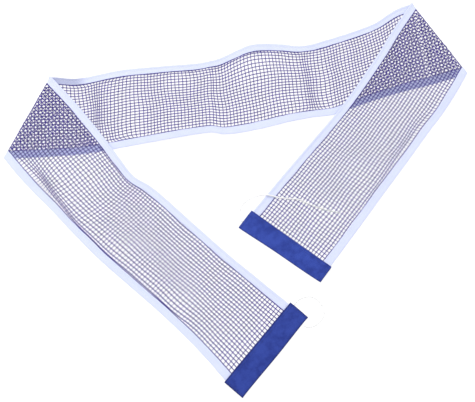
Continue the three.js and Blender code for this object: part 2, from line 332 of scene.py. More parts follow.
# Points of one section of the strip, [along, across, xyz], for lines at the places q. The
# lines run on by the spare number of steps at both ends.
def sectionPoints(section, q, spacing, into=0.0, spare=0):
    q = np.atleast_1d(np.asarray(q, float))
    if section in sectionRuns:
        run, start, end = sectionRuns[section]
        count = max(2, round((end - start) / spacing))
        s = np.linspace(start, end, count + 1)
        if into:
            s = np.append(s, end + into)
        more = spacing * np.arange(1, spare + 1)
        s = np.concatenate([start - more[::-1], s, s[-1] + more])
        return stripPoint(run, *gathered(run, s[:, None], q[None, :]))
    side = foldSide[section]
    count = max(4, round(45 / spacing))
    lower = stepsFromFold("middle", side, q, ribs[side]["middle"], count)
    upper = stepsFromFold(side, side, q, ribs[side]["outer"], count)
    more = spacing * np.arange(1, spare + 1)[:, None]
    lower = np.concatenate([lower, lower[-1:] + np.sign(lower[-1:] - lower[-2:-1]) * more])
    upper = np.concatenate([upper, upper[-1:] + np.sign(upper[-1:] - upper[-2:-1]) * more])
    below = stripPoint("middle", lower, q[None, :])[::-1]
    above = stripPoint(side, upper, q[None, :])[1:]
    return np.concatenate([below, above])


def unit(vectors):
    return vectors / np.maximum(np.linalg.norm(vectors, axis=-1, keepdims=True), 1e-12)


# The same points moved by n along the strip's own normal.
def raisedPoints(section, q, n, spacing, into=0.0, spare=0):
    q, n = np.asarray(q, float), np.asarray(n, float)
    points = sectionPoints(section, q, spacing, into, spare + 1)
    left = sectionPoints(section, q - 0.5, spacing, into, spare + 1)
    right = sectionPoints(section, q + 0.5, spacing, into, spare + 1)
    normal = unit(np.cross(np.gradient(points, axis=0), right - left))
    return (points + n[None, :, None] * normal)[1:-1]


# A gentle sideways waver of the yarns, the same for both layers at a fold.
waver = {"size": 0.42, "long": 61.0, "short": 23.0, "shortShare": 0.3}


def wavering(points):
    x, y = points[..., 0], points[..., 1]
    a, b = 2 * math.pi / waver["long"], 2 * math.pi / waver["short"]
    moved = points.copy()
    share = waver["shortShare"]
    moved[..., 0] += waver["size"] * (np.sin(a * y + 0.7) + share * np.sin(b * (x + 0.6 * y)))
    moved[..., 1] += waver["size"] * (np.sin(a * x + 2.1) + share * np.sin(b * (y - 0.7 * x)))
    return moved


print("plan of the net laid out")

# Small tools


def colour(code):
    channels = [int(code[i : i + 2], 16) / 255 for i in (1, 3, 5)]
    linear = [c / 12.92 if c <= 0.04045 else ((c + 0.055) / 1.055) ** 2.4 for c in channels]
    return (*linear, 1.0)


# Sets inputs by name or number: a socket is linked, a list of sockets all go to one input.
def setInputs(tree, node, inputs):
    for name, given in inputs.items():
        for value in given if isinstance(given, list) else [given]:
            if isinstance(value, bpy.types.NodeSocket):
                tree.links.new(value, node.inputs[name])
            else:
                node.inputs[name].default_value = value


# Adds a node with its settings and inputs, and gives back the output asked for.
def addNode(tree, kind, inputs=None, output=0, **settings):
    node = tree.nodes.new(kind)
    for name, value in settings.items():
        setattr(node, name, value)
    setInputs(tree, node, inputs or {})
    return node.outputs[output] if node.outputs else None


def newMaterial(name, roughness, sheen=0.0, specular=0.3):
    material = bpy.data.materials.new(name)
    material.use_nodes = True
    tree = material.node_tree
    shader = tree.nodes["Principled BSDF"]
    finish = {"Roughness": roughness, "Sheen Weight": sheen, "Specular IOR Level": specular}
    setInputs(tree, shader, finish)
    return material, tree, shader


# A wave texture's scale for stripes this far apart.
def stripeScale(period):
    return math.pi / 10 / period


# The two crossing sets of threads of a woven cloth, laid out on its own map.
def wovenStripes(tree, alongSpacing, acrossSpacing):
    onCloth = addNode(tree, "ShaderNodeUVMap", output="UV", uv_map="cloth")
    stripes = []
    for period, way in ((alongSpacing, "X"), (acrossSpacing, "Y")):
        spacing = {"Vector": onCloth, "Scale": stripeScale(period), "Distortion": 0.0}
        settings = {"wave_type": "BANDS", "bands_direction": way}
        stripes.append(addNode(tree, "ShaderNodeTexWave", spacing, "Fac", **settings))
    return stripes


# Materials. Lengths are in metres, noise scales are per metre.
yarnLook = {
    "dark": "#2a1a6e", "light": "#46329a",
    "patches": {"Scale": 1 / 0.02, "Detail": 3, "Roughness": 0.5},
    "fibres": {"Scale": 1 / 0.0009, "Detail": 2, "Roughness": 0.5},
    "relief": {"Strength": 0.6, "Distance": 0.0002},
}
tapeLook = {
    "white": "#e3e7fa", "soiled": "#d5dbf3", "shade": "#c6cdec", "rib": 0.0011, "thread": 0.0007,
    # painted shade on the top tape where it goes under the left fold: its colour, place and reach
    "foldShadeColour": "#a6abc9", "foldShadeAt": (-312, 188), "foldShadeReach": (20, 46),
    "soil": {"Scale": 55, "Detail": 4, "Roughness": 0.6},
    "soilLimits": {"From Min": 0.35, "From Max": 0.75},
    "relief": {"Strength": 0.7, "Distance": 0.00025},
}
cordLook = {
    "dark": "#dededf", "light": "#f3f3f3",
    "fuzz": {"Scale": 900, "Detail": 3, "Roughness": 0.6},
    "relief": {"Strength": 0.5, "Distance": 0.00015},
}
clothLook = {
    # the dark colour for the sleeve's edges, also used as painted shade over the whole left sleeve
    "blue": "#293f98", "deep": "#213588", "light": "#3248a0", "edge": "#151f62",
    "warp": 0.0007, "weft": 0.0008,
    "patches": {"Scale": 70, "Detail": 4, "Roughness": 0.65},
    "patchLimits": {"From Min": 0.38, "From Max": 0.62},
    "weaveLimits": {"From Min": 0.3, "From Max": 1.7},
    "relief": {"Strength": 0.6, "Distance": 0.00012},
}
threadLook = {"onTape": "#eef0fb", "onSleeve": "#1d276b", "lay": 0.0004, "shade": 0.6}
tableLook = {
    "dark": "#8c8c8e", "light": "#929292", "glow": 0.8,
    "grain": {"Scale": 60, "Detail": 2, "Roughness": 0.5},
}


# Synthetic netting yarn, dyed dark violet, with a dull twisted surface
def makeYarn():
    material, tree, shader = newMaterial("nettingYarn", 0.8, specular=0.12)
    place = addNode(tree, "ShaderNodeTexCoord", output="Object")
    patches = addNode(tree, "ShaderNodeTexNoise", {"Vector": place, **yarnLook["patches"]}, "Fac")
    fibres = addNode(tree, "ShaderNodeTexNoise", {"Vector": place, **yarnLook["fibres"]}, "Fac")
    shades = {0: patches, 6: colour(yarnLook["dark"]), 7: colour(yarnLook["light"])}
    tone = addNode(tree, "ShaderNodeMix", shades, 2, data_type="RGBA")
    relief = {**yarnLook["relief"], "Height": fibres}
    bump = addNode(tree, "ShaderNodeBump", relief, "Normal")
    setInputs(tree, shader, {"Base Color": tone, "Normal": bump})
    return material


# Woven polyester binding tape: fine ribs across it and a looser thread along it
def makeTape():
    material, tree, shader = newMaterial("wovenTape", 0.82, sheen=0.2)
    place = addNode(tree, "ShaderNodeTexCoord", output="Object")
    stripes = wovenStripes(tree, tapeLook["rib"], tapeLook["thread"])
    crossed = {0: stripes[0], 1: stripes[1]}
    weave = addNode(tree, "ShaderNodeMath", crossed, operation="MULTIPLY")
    soil = addNode(tree, "ShaderNodeTexNoise", {"Vector": place, **tapeLook["soil"]}, "Fac")
    soiling = addNode(tree, "ShaderNodeMapRange", {"Value": soil, **tapeLook["soilLimits"]})
    shades = {0: soiling, 6: colour(tapeLook["white"]), 7: colour(tapeLook["soiled"])}
    plain = addNode(tree, "ShaderNodeMix", shades, 2, data_type="RGBA")
    shades = {0: weave, 6: colour(tapeLook["shade"]), 7: plain}
    clean = addNode(tree, "ShaderNodeMix", shades, 2, data_type="RGBA")
    # painted shade where the top tape goes under the left fold, read from the tape's attribute
    foldShade = addNode(tree, "ShaderNodeAttribute", output="Fac", attribute_name="foldShade")
    shades = {0: foldShade, 6: clean, 7: colour(tapeLook["foldShadeColour"])}
    tone = addNode(tree, "ShaderNodeMix", shades, 2, data_type="RGBA")
    relief = {**tapeLook["relief"], "Height": weave}
    bump = addNode(tree, "ShaderNodeBump", relief, "Normal")
    setInputs(tree, shader, {"Base Color": tone, "Normal": bump})
    return material


# Twisted textile cord, white, with a fuzzy surface
def makeCordFibre():
    material, tree, shader = newMaterial("twistedCord", 0.7, sheen=0.2)
    place = addNode(tree, "ShaderNodeTexCoord", output="Object")
    fuzz = addNode(tree, "ShaderNodeTexNoise", {"Vector": place, **cordLook["fuzz"]}, "Fac")
    shades = {0: fuzz, 6: colour(cordLook["dark"]), 7: colour(cordLook["light"])}
    tone = addNode(tree, "ShaderNodeMix", shades, 2, data_type="RGBA")
    relief = {**cordLook["relief"], "Height": fuzz}
    bump = addNode(tree, "ShaderNodeBump", relief, "Normal")
    setInputs(tree, shader, {"Base Color": tone, "Normal": bump})
    return material


# Plain-woven polyester sleeve cloth, royal blue, darker near its edges, and with painted shade over
# the whole left sleeve
def makeSleeveCloth():
    material, tree, shader = newMaterial("wovenSleeveCloth", 0.7, sheen=0.06, specular=0.2)
    place = addNode(tree, "ShaderNodeTexCoord", output="Object")
    stripes = wovenStripes(tree, clothLook["warp"], clothLook["weft"])
    weave = addNode(tree, "ShaderNodeMath", {0: stripes[0], 1: stripes[1]}, operation="ADD")
    wear = addNode(tree, "ShaderNodeTexNoise", {"Vector": place, **clothLook["patches"]}, "Fac")
    patches = addNode(tree, "ShaderNodeMapRange", {"Value": wear, **clothLook["patchLimits"]})
    shades = {0: patches, 6: colour(clothLook["blue"]), 7: colour(clothLook["deep"])}
    tone = addNode(tree, "ShaderNodeMix", shades, 2, data_type="RGBA")
    raised = addNode(tree, "ShaderNodeMapRange", {"Value": weave, **clothLook["weaveLimits"]})
    shades = {0: raised, 6: tone, 7: colour(clothLook["light"])}
    lit = addNode(tree, "ShaderNodeMix", shades, 2, data_type="RGBA")
    shades = {0: patches, 6: lit, 7: tone}
    softened = addNode(tree, "ShaderNodeMix", shades, 2, data_type="RGBA")
    # darker near the edges, and painted shade over the whole left sleeve, read from the sleeve's
    # attribute
    edge = addNode(tree, "ShaderNodeAttribute", output="Fac", attribute_name="edge")
    shades = {0: edge, 6: softened, 7: colour(clothLook["edge"])}
    finished = addNode(tree, "ShaderNodeMix", shades, 2, data_type="RGBA")
    relief = {**clothLook["relief"], "Height": weave}
    bump = addNode(tree, "ShaderNodeBump", relief, "Normal")
    setInputs(tree, shader, {"Base Color": finished, "Normal": bump})
    return material


# Sewing thread, white on the tapes and navy on the sleeves
def makeThread(name, code):
    material, tree, shader = newMaterial(name, 0.55, sheen=0.1)
    place = addNode(tree, "ShaderNodeTexCoord", output="Object")
    spacing = {"Vector": place, "Scale": stripeScale(threadLook["lay"]), "Distortion": 0.0}
    settings = {"wave_type": "BANDS", "bands_direction": "DIAGONAL"}
    lay = addNode(tree, "ShaderNodeTexWave", spacing, "Fac", **settings)
    light = colour(code)
    dark = tuple(threadLook["shade"] * c for c in light[:3]) + (1.0,)
    tone = addNode(tree, "ShaderNodeMix", {0: lay, 6: dark, 7: light}, 2, data_type="RGBA")
    setInputs(tree, shader, {"Base Color": tone})
    return material


# White table top, mostly lit by its own glow so that it stays white all over
def makeTableTop():
    material, tree, shader = newMaterial("whiteTable", 0.9, specular=0.1)
    place = addNode(tree, "ShaderNodeTexCoord", output="Object")
    grain = addNode(tree, "ShaderNodeTexNoise", {"Vector": place, **tableLook["grain"]}, "Fac")
    shades = {0: grain, 6: colour(tableLook["dark"]), 7: colour(tableLook["light"])}
    tone = addNode(tree, "ShaderNodeMix", shades, 2, data_type="RGBA")
    glow = {"Emission Color": (1, 1, 1, 1), "Emission Strength": tableLook["glow"]}
    setInputs(tree, shader, {"Base Color": tone, **glow})
    return material


yarn = makeYarn()
tape = makeTape()
cordFibre = makeCordFibre()
sleeveCloth = makeSleeveCloth()
whiteThread = makeThread("whiteThread", threadLook["onTape"])
navyThread = makeThread("navyThread", threadLook["onSleeve"])
tableTop = makeTableTop()
print("materials made")

# Geometry node trees


# A tree with these named sizes, a material, and the lines it works on.
def newTree(name, sizes):
    tree = bpy.data.node_groups.new(name, "GeometryNodeTree")
    tree.is_modifier = True
    face = tree.interface
    face.new_socket("Lines", in_out="INPUT", socket_type="NodeSocketGeometry")
    for label, kind in [*sizes, ("Material", "Material")]:
        face.new_socket(label, in_out="INPUT", socket_type="NodeSocket" + kind)
    face.new_socket("Made", in_out="OUTPUT", socket_type="NodeSocketGeometry")
    given = tree.nodes.new("NodeGroupInput").outputs
    return tree, given, addNode(tree, "GeometryNodeMeshToCurve", {"Mesh": given["Lines"]})


def endTree(tree, geometry, material):
    whole = addNode(tree, "GeometryNodeRealizeInstances", {"Geometry": geometry})
    smoothed = addNode(tree, "GeometryNodeSetShadeSmooth", {"Geometry": whole})
    dressed = {"Geometry": smoothed, "Material": material}
    addNode(tree, "NodeGroupOutput", {"Made": addNode(tree, "GeometryNodeSetMaterial", dressed)})


# Yarns along every line, with a small swelling where two cross.
def makeYarnTree():
    sizes = [
        ("Yarn Diameter", "Float"), ("Yarn Sides", "Int"), ("Knot Size", "Float"), ("Seed", "Int"),
    ]
    tree, given, lines = newTree("yarnsAndKnots", sizes)
    halved = {0: given["Yarn Diameter"], 1: 0.5}
    radius = addNode(tree, "ShaderNodeMath", halved, operation="MULTIPLY")
    circle = {"Resolution": given["Yarn Sides"], "Radius": radius}
    outline = addNode(tree, "GeometryNodeCurvePrimitiveCircle", circle)
    share, isKnot = [
        addNode(tree, "GeometryNodeInputNamedAttribute", {"Name": label}, data_type="FLOAT")
        for label in ("thickness", "knot")
    ]
    swept = {"Curve": lines, "Profile Curve": outline, "Scale": share, "Fill Caps": True}
    tubes = addNode(tree, "GeometryNodeCurveToMesh", swept)
    chosen = addNode(tree, "ShaderNodeMath", {0: isKnot, 1: 0.5}, operation="GREATER_THAN")
    ball = addNode(tree, "GeometryNodeMeshIcoSphere", {"Radius": 0.5, "Subdivisions": 1})
    spread = {2: 0.8, 3: 1.2, "Seed": given["Seed"]}
    varied = addNode(tree, "FunctionNodeRandomValue", spread, 1, data_type="FLOAT")
    sized = {0: varied, 1: given["Knot Size"]}
    size = addNode(tree, "ShaderNodeMath", sized, operation="MULTIPLY")
    flat = addNode(tree, "ShaderNodeMath", {0: size, 1: 0.8}, operation="MULTIPLY")
    scale = addNode(tree, "ShaderNodeCombineXYZ", {"X": size, "Y": size, "Z": flat})
    placed = {"Points": given["Lines"], "Selection": chosen, "Instance": ball, "Scale": scale}
    knots = addNode(tree, "GeometryNodeInstanceOnPoints", placed)
    both = addNode(tree, "GeometryNodeJoinGeometry", {0: [knots, tubes]})
    endTree(tree, both, given["Material"])
    return tree


# Running stitches along every line.
def makeStitchTree():
    sizes = [("Stitch Pitch", "Float"), ("Stitch Length", "Float"), ("Thread Diameter", "Float")]
    tree, given, lines = newTree("runningStitches", sizes)
    spaced = {"Curve": lines, "Length": given["Stitch Pitch"]}
    even = addNode(tree, "GeometryNodeResampleCurve", spaced, mode="LENGTH")
    ahead = {"Vector": addNode(tree, "GeometryNodeInputTangent")}
    turned = addNode(tree, "FunctionNodeAlignRotationToVector", ahead, axis="X")
    grain = {"Segments": 6, "Rings": 4, "Radius": 0.5}
    pill = addNode(tree, "GeometryNodeMeshUVSphere", grain)
    long, thick = given["Stitch Length"], given["Thread Diameter"]
    scale = addNode(tree, "ShaderNodeCombineXYZ", {"X": long, "Y": thick, "Z": thick})
    placed = {"Points": even, "Instance": pill, "Rotation": turned, "Scale": scale}
    endTree(tree, addNode(tree, "GeometryNodeInstanceOnPoints", placed), given["Material"])
    return tree


# A twisted cord along one line: a lobed section that turns as it goes.
def makeCordTree():
    sizes = [
        ("Cord Diameter", "Float"), ("Plies", "Int"), ("Ply Relief", "Float"),
        ("Twist Pitch", "Float"), ("Step", "Float"),
    ]
    tree, given, lines = newTree("twistedCord", sizes)
    spaced = {"Curve": lines, "Length": given["Step"]}
    even = addNode(tree, "GeometryNodeResampleCurve", spaced, mode="LENGTH")
    along = addNode(tree, "GeometryNodeSplineParameter", output="Length")
    shared = {0: along, 1: given["Twist Pitch"]}
    turns = addNode(tree, "ShaderNodeMath", shared, operation="DIVIDE")
    tilt = addNode(tree, "ShaderNodeMath", {0: turns, 1: 2 * math.pi}, operation="MULTIPLY")
    twisted = addNode(tree, "GeometryNodeSetCurveTilt", {"Curve": even, "Tilt": tilt})
    halved = {0: given["Cord Diameter"], 1: 0.5}
    radius = addNode(tree, "ShaderNodeMath", halved, operation="MULTIPLY")
    circle = {"Resolution": 18, "Radius": radius}
    ring = addNode(tree, "GeometryNodeCurvePrimitiveCircle", circle)
    part = addNode(tree, "GeometryNodeSplineParameter", output="Factor")
    lobes = addNode(tree, "ShaderNodeMath", {0: part, 1: given["Plies"]}, operation="MULTIPLY")
    angle = addNode(tree, "ShaderNodeMath", {0: lobes, 1: 2 * math.pi}, operation="MULTIPLY")
    wave = addNode(tree, "ShaderNodeMath", {0: angle}, operation="COSINE")
    dip = addNode(tree, "ShaderNodeMath", {0: wave, 1: 1.0}, operation="SUBTRACT")
    eased = {0: dip, 1: given["Ply Relief"], 2: 1.0}
    relief = addNode(tree, "ShaderNodeMath", eased, operation="MULTIPLY_ADD")
    reduced = {0: addNode(tree, "GeometryNodeInputPosition"), "Scale": relief}
    drawn = addNode(tree, "ShaderNodeVectorMath", reduced, operation="SCALE")
    moved = {"Geometry": ring, "Position": drawn}
    section = addNode(tree, "GeometryNodeSetPosition", moved)
    swept = {"Curve": twisted, "Profile Curve": section, "Fill Caps": True}
    endTree(tree, addNode(tree, "GeometryNodeCurveToMesh", swept), given["Material"])
    return tree


yarnTree = makeYarnTree()
stitchTree = makeStitchTree()
cordTree = makeCordTree()


# A piece's name from its kind and its section or side.
def pieceName(kind, part):
    return kind + part[0].upper() + part[1:]


# Lines, each a list of points in millimetres, as a mesh of edges with the attributes given.
def linesMesh(name, lines, attributes=None):
    points = np.concatenate(lines) * mm
    counts = [len(line) for line in lines]
    edges = []
    start = 0
    for count in counts:
        edges += [(start + i, start + i + 1) for i in range(count - 1)]
        start += count
    mesh = bpy.data.meshes.new(name)
    mesh.from_pydata(points.tolist(), edges, [])
    for label, values in (attributes or {}).items():
        held = mesh.attributes.new(label, "FLOAT", "POINT")
        held.data.foreach_set("value", np.concatenate(values).astype(np.float32))
    return mesh


# The tree's result on these lines, as a plain mesh at the origin.
def grow(name, tree, mesh, values):
    source = bpy.data.objects.new(name + "Lines", mesh)
    bpy.context.collection.objects.link(source)
    modifier = source.modifiers.new("grow", "NODES")
    modifier.node_group = tree
    for item in tree.interface.items_tree:
        if item.item_type == "SOCKET" and item.in_out == "INPUT" and item.name in values:
            modifier[item.identifier] = values[item.name]
    graph = bpy.context.evaluated_depsgraph_get()
    made = bpy.data.meshes.new_from_object(source.evaluated_get(graph))
    material = values["Material"]
    made.materials.clear()
    made.materials.append(material)
    bpy.data.objects.remove(source)
    made.name = name
    piece = bpy.data.objects.new(name, made)
    bpy.context.collection.objects.link(piece)
    return piece


# A sheet of cloth from a grid of points on its middle, [along, across, xyz] in millimetres. The
# spare rows at both ends only steady the direction of its thickness.
def clothSheet(name, grid, thickness, material, marks=None, spare=0):
    normal = unit(np.cross(np.gradient(grid, axis=0), np.gradient(grid, axis=1)))
    grid, normal = grid[spare : len(grid) - spare], normal[spare : len(grid) - spare]
    rows, columnsCount = grid.shape[:2]
    faceA = grid + normal * thickness / 2
    faceB = grid - normal * thickness / 2
    points = np.concatenate([faceA.reshape(-1, 3), faceB.reshape(-1, 3)]) * mm
    far = rows * columnsCount  # from a point of one face to the same point of the other
    i, j = np.meshgrid(np.arange(rows - 1), np.arange(columnsCount - 1), indexing="ij")
    a = (i * columnsCount + j).ravel()
    quads = np.stack([a, a + columnsCount, a + columnsCount + 1, a + 1], axis=1)
    other = quads[:, ::-1] + far
    border = (
        [(0, j) for j in range(columnsCount)]
        + [(i, columnsCount - 1) for i in range(1, rows)]
        + [(rows - 1, j) for j in range(columnsCount - 2, -1, -1)]
        + [(i, 0) for i in range(rows - 2, 0, -1)]
    )
    ring = np.array([i * columnsCount + j for i, j in border])
    following = np.roll(ring, -1)
    rim = np.stack([ring, following, following + far, ring + far], axis=1)
    faces = np.concatenate([quads, other, rim])
    mesh = bpy.data.meshes.new(name)
    mesh.from_pydata(points.tolist(), [], faces.tolist())
    along = np.concatenate(
        [[0], np.cumsum(np.linalg.norm(np.diff(grid.mean(axis=1), axis=0), axis=1))]
    )
    wide = np.concatenate(
        [[0], np.cumsum(np.linalg.norm(np.diff(grid, axis=1), axis=2).mean(axis=0))]
    )
    u = np.repeat(along[:, None], columnsCount, axis=1).ravel() * mm
    v = np.repeat(wide[None, :], rows, axis=0).ravel() * mm
    corners = np.empty(len(mesh.loops), np.int32)
    mesh.loops.foreach_get("vertex_index", corners)
    corners %= far
    layer = mesh.uv_layers.new(name="cloth")
    layer.data.foreach_set("uv", np.stack([u[corners], v[corners]], axis=1).ravel())
    for label, values in (marks or {}).items():
        held = mesh.attributes.new(label, "FLOAT", "POINT")
        held.data.foreach_set("value", np.tile(values.ravel(), 2).astype(np.float32))
    mesh.materials.append(material)
    mesh.polygons.foreach_set("use_smooth", np.ones(len(mesh.polygons), bool))
    ends = np.empty(2 * len(mesh.edges), np.int32)
    mesh.edges.foreach_get("vertices", ends)
    onBorder = np.isin(ends.reshape(-1, 2) % far, ring).all(axis=1)
    crisp = mesh.attributes.new("sharp_edge", "BOOLEAN", "EDGE")  # along the cut edges
    crisp.data.foreach_set("value", onBorder)
    piece = bpy.data.objects.new(name, mesh)
    bpy.context.collection.objects.link(piece)
    return piece


jointAt = {joint["name"]: Vector(joint["pos_m"]) for joint in frame["joints"]}
foldHinge = {
    "foldLeft": ("left_run", jointAt["left_fold"]),
    "foldRight": ("right_run", jointAt["right_fold"]),
}
bodyOf = {"middle": "middle_run", "left": "left_run", "right": "right_run"}


# A piece of a straight section rides on its run. One at a fold stays where it is, with its
# transform baked.
def attach(piece, section, node=None):
    if section in bodyOf:
        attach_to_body(piece, bodyOf[section])
        if node:
            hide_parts(f"{node}_{section}")
    else:
        outer, at = foldHinge[section]
        level = netPlan["foldLevel"] * mm
        start, end = Vector((at.x, at.y, level - 0.00015)), Vector((at.x, at.y, level + 0.00015))
        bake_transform(piece)
        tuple(start)
        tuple(end)


# Cut length of a section of cloth, measured along its middle at the place q across it.
def sectionLength(section, q=0.0):
    line = sectionPoints(section, [q], 3.0)[:, 0]
    return float(np.linalg.norm(np.diff(line, axis=0), axis=1).sum()) * mm


# Netting
netValues = {
    "rows": 23,
    "columnSpacing": 6.0,
    "yarn": 0.00142,
    "crossYarnShare": 0.85,
    "sides": 5,
    "knot": 0.002,
    "tuck": 2.5,  # how far the crosswise yarns reach into a tape
    "seam": 6.0,  # how far the netting reaches into a sleeve
    "offset": 0.12,  # lengthwise yarns lie above the crosswise ones
    "creaseShare": 0.9,
}
rowEnd = netPlan["meshHalf"] - 0.9
rowPlaces = np.linspace(-rowEnd, rowEnd, netValues["rows"])
halfCell = (rowPlaces[1] - rowPlaces[0]) / 2


# Places across the strip for a crosswise yarn: at each row, half-way between, and in the tapes.
def columnPlaces(low, high):
    even = np.arange(rowPlaces[0], rowPlaces[-1] + 0.1, halfCell)
    inside = even[(even > low + 0.2) & (even < high - 0.2)]
    return np.concatenate([[low], inside, [high]])


def knotsAt(q):
    nearest = np.abs(q[:, None] - rowPlaces[None, :]).min(axis=1)
    return (nearest < 0.01).astype(float)


def columnLines(section):
    reach = netPlan["meshHalf"] + netValues["tuck"]
    lines, knots = [], []
    if section in sectionRuns:
        run, start, end = sectionRuns[section]
        count = round((end - start) / netValues["columnSpacing"])
        places = columnPlaces(-reach, reach)
        for s in np.linspace(start, end, count + 1):
            lines.append(stripPoint(run, *gathered(run, s, places)))
            knots.append(knotsAt(places))
        return lines, knots
    side = foldSide[section]
    fine = np.linspace(-reach, reach, 400)
    met = meetFold("middle", side, fine)
    rib = ribs[side]["middle"]
    toFold = np.sort(np.abs(met - rib))
    order = np.argsort(np.abs(met - rib))
    crossings = np.interp(
        np.arange(netValues["columnSpacing"], toFold[-1], netValues["columnSpacing"]),
        toFold,
        fine[order],
        left=np.nan,
    )
    for q in crossings[~np.isnan(crossings)]:
        sMiddle = float(meetFold("middle", side, np.array(q)))
        sOuter = float(meetFold(side, side, np.array(q)))
        lower, lowerKnots = halfColumn("middle", side, sMiddle, q, -reach)
        upper, upperKnots = halfColumn(side, side, sOuter, q, reach)
        lines.append(np.concatenate([lower[::-1], upper[1:]]))
        knots.append(np.concatenate([lowerKnots[::-1], upperKnots[1:]]))
    for run, stop in (("middle", rib), (side, ribs[side]["outer"])):
        lines += wholeColumns(run, side, stop, reach, knots)
    return lines, knots


# Half of a crosswise yarn that turns over a fold line at q, from the fold to one tape.
def halfColumn(run, side, s, q, end):
    sign = math.copysign(1, end - q)
    slope = insideFold(side, planOf(run, s, end)) / abs(end - q)
    turns = np.radians(np.linspace(0, 90, 7))
    near = q + sign * netPlan["bendRadius"] * (1 - np.cos(turns)) / max(float(slope), 0.05)
    rest = columnPlaces(min(q, end), max(q, end))
    rest = rest[::int(sign)]
    rest = rest[sign * rest > sign * near[-1] + 0.3]
    near = near[sign * near < sign * end]
    places = np.concatenate([near, rest])
    return stripPoint(run, s, places), np.where(
        np.arange(len(places)) < len(near), 0.0, knotsAt(places)
    )


# Crosswise yarns between the fold's furthest corner and the rib where the fold piece ends.
def wholeColumns(run, side, rib, reach, knots):
    corner = meetFold(run, side, np.array([-reach, reach]))
    sign = math.copysign(1, rib - float(corner.mean()))
    furthest = (sign * corner).max() * sign
    places = columnPlaces(-reach, reach)
    found = []
    for step in range(1, 4):
        s = rib - sign * step * netValues["columnSpacing"]
        if sign * s > sign * furthest + 1.0:
            found.append(stripPoint(run, s, places))
            knots.append(knotsAt(places))
    return found


# The yarn drawn straight along a fold line, where the bent mesh bunches.
def creaseLine(side):
    reach = netPlan["meshHalf"]
    q = np.linspace(-reach, reach, 80)
    xy = planOf("middle", meetFold("middle", side, q), q)
    return np.concatenate([xy, np.full((len(q), 1), netPlan["foldLevel"])], axis=1)


# Area of the flat cut's straight yarns, each as half its own surface, as a closed yarn is measured.
def yarnArea(long):
    across = 2 * (netPlan["meshHalf"] + netValues["tuck"]) * mm
    columns = long / (netValues["columnSpacing"] * mm)
    yarnLength = netValues["rows"] * long + columns * across * netValues["crossYarnShare"]
    return yarnLength * netValues["yarn"] * math.pi / 2


def makeNetting(section):
    into = netValues["seam"] if section in ("left", "right") else 0.0
    offsets = np.full(len(rowPlaces), netValues["offset"])
    rowGrid = raisedPoints(section, rowPlaces, offsets, 3.6, into)
    lines = [wavering(rowGrid[:, k]) for k in range(len(rowPlaces))]
    knots = [np.zeros(len(line)) for line in lines]
    thickness = [np.ones(len(line)) for line in lines]
    crossLines, crossKnots = columnLines(section)
    lines += [wavering(line) for line in crossLines]
    knots += crossKnots
    thickness += [np.full(len(line), netValues["crossYarnShare"]) for line in crossLines]
    if section in foldSide:
        crease = creaseLine(foldSide[section])
        lines.append(crease)
        knots.append(np.zeros(len(crease)))
        thickness.append(np.full(len(crease), netValues["creaseShare"]))
    name = pieceName("netting", section)
    mesh = linesMesh(name, lines, {"knot": knots, "thickness": thickness})
    piece = grow(
        name,
        yarnTree,
        mesh,
        {
            "Yarn Diameter": netValues["yarn"],
            "Yarn Sides": netValues["sides"],
            "Knot Size": netValues["knot"],
            "Seed": 7,
            "Material": yarn,
        },
    )
    attach(piece, section, "netting")
    wide, long = 2 * netPlan["meshHalf"] * mm, sectionLength(section)
    yarnArea(long)
    return piece


netting = {section: makeNetting(section) for section in sections}
print("netting made:", {s: len(p.data.polygons) for s, p in netting.items()})

# Tapes and hem cord
tapeValues = {
    "ply": 0.45,
    "spacing": 4.0,
    "stitchPitch": 0.0032,
    "stitchLength": 0.0026,
    "thread": 0.00045,
    "waverSize": 0.18,
    # Rows of stitches: place across the strip, height over the middle of the netting.
    "stitchRows": [
        (63.4, 0.98), (63.4, -0.98), (69.4, 1.0), (69.4, -1.0), (-63.4, 0.98), (-63.4, -0.98),
    ],
    "hemIn": 2.0,  # how far the top hem and its cord reach into a sleeve
}
# Middle of the ply, from one inner edge round the outer edge to the other: place, height.
topTapeHalf = [
    (62.0, 0.72), (64.0, 0.74), (66.5, 0.74), (68.8, 0.74), (70.0, 0.84), (70.9, 1.16),
    (71.7, 1.55), (72.5, 1.78), (73.3, 1.78), (74.0, 1.46), (74.5, 0.86),
]
bottomTapeHalf = [
    (-62.0, 0.72), (-64.0, 0.74), (-66.5, 0.74), (-69.0, 0.74), (-71.5, 0.74), (-73.2, 0.7),
    (-74.2, 0.52), (-74.65, 0.26),
]


def ravelled(points, size):
    x, y = points[..., 0], points[..., 1]
    moved = points.copy()
    moved[..., 0] += size * (np.sin(0.31 * y + 0.11 * x) + np.sin(0.83 * x))
    moved[..., 1] += size * (np.sin(0.29 * x - 0.13 * y) + np.sin(0.77 * y + 1.0))
    return moved


# Painted shade on the tape: on the top one, on the middle run, just beyond the left fold, where it
# goes under the fold.
def foldShadeOn(kind, section, grid):
    if kind == "bottom" or section not in ("middle", "foldLeft"):
        return np.zeros(grid.shape[:2])
    x, y = tapeLook["foldShadeAt"]
    toMark = np.hypot(grid[..., 0] - x, grid[..., 1] - y)
    return (1 - smooth(toMark, *tapeLook["foldShadeReach"])) * (grid[..., 2] < netPlan["foldLevel"] + 1)


def stitchSizes(thread, material):
    return {
        "Stitch Pitch": tapeValues["stitchPitch"],
        "Stitch Length": tapeValues["stitchLength"],
        "Thread Diameter": thread,
        "Material": material,
    }


